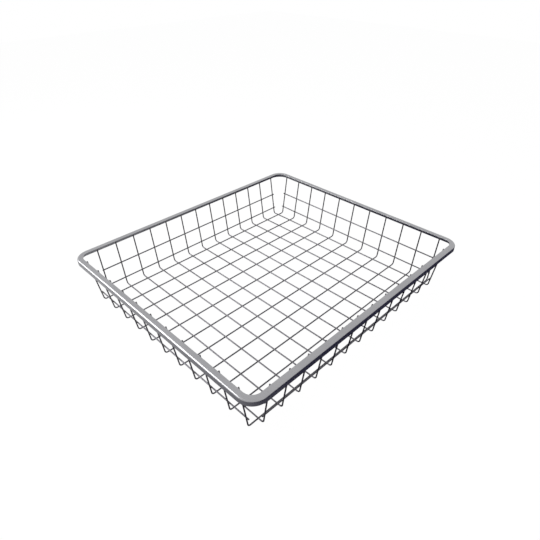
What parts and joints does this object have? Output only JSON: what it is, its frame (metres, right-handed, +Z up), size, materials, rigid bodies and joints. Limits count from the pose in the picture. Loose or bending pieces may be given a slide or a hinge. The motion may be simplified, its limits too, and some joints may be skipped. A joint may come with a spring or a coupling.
{
  "type": "wire locker basket",
  "caption": "Shallow open basket of welded round wire with outward-leaning walls, stiffening rails along them and a folded steel rim round its mouth.",
  "frame": {"origin": "under the middle of the floor, on the underside of the lowest wires", "axes": "+X to the right across the basket, +Y to the back along its long side, +Z up"},
  "size_m": [0.4386, 0.499, 0.0872],
  "materials": {
    "wire_steel": "bright plated drawn steel wire",
    "rim_steel": "plated folded steel angle, fine satin"
  },
  "bodies": {
    "root": {"rim": "rim_steel", "lengthwise_wire_01": "wire_steel", "lengthwise_wire_02": "wire_steel", "lengthwise_wire_03": "wire_steel", "lengthwise_wire_04": "wire_steel", "lengthwise_wire_05": "wire_steel", "lengthwise_wire_06": "wire_steel", "lengthwise_wire_07": "wire_steel", "lengthwise_wire_08": "wire_steel", "lengthwise_wire_09": "wire_steel", "lengthwise_wire_10": "wire_steel", "lengthwise_wire_11": "wire_steel", "crosswise_wire_01": "wire_steel", "crosswise_wire_02": "wire_steel", "crosswise_wire_03": "wire_steel", "crosswise_wire_04": "wire_steel", "crosswise_wire_05": "wire_steel", "crosswise_wire_06": "wire_steel", "crosswise_wire_07": "wire_steel", "crosswise_wire_08": "wire_steel", "crosswise_wire_09": "wire_steel", "crosswise_wire_10": "wire_steel", "crosswise_wire_11": "wire_steel", "crosswise_wire_12": "wire_steel", "crosswise_wire_13": "wire_steel", "front_lower_rail": "wire_steel", "front_upper_rail": "wire_steel", "back_lower_rail": "wire_steel", "back_upper_rail": "wire_steel", "left_lower_rail": "wire_steel", "left_upper_rail": "wire_steel", "right_lower_rail": "wire_steel", "right_upper_rail": "wire_steel"}
  },
  "joints": []
}
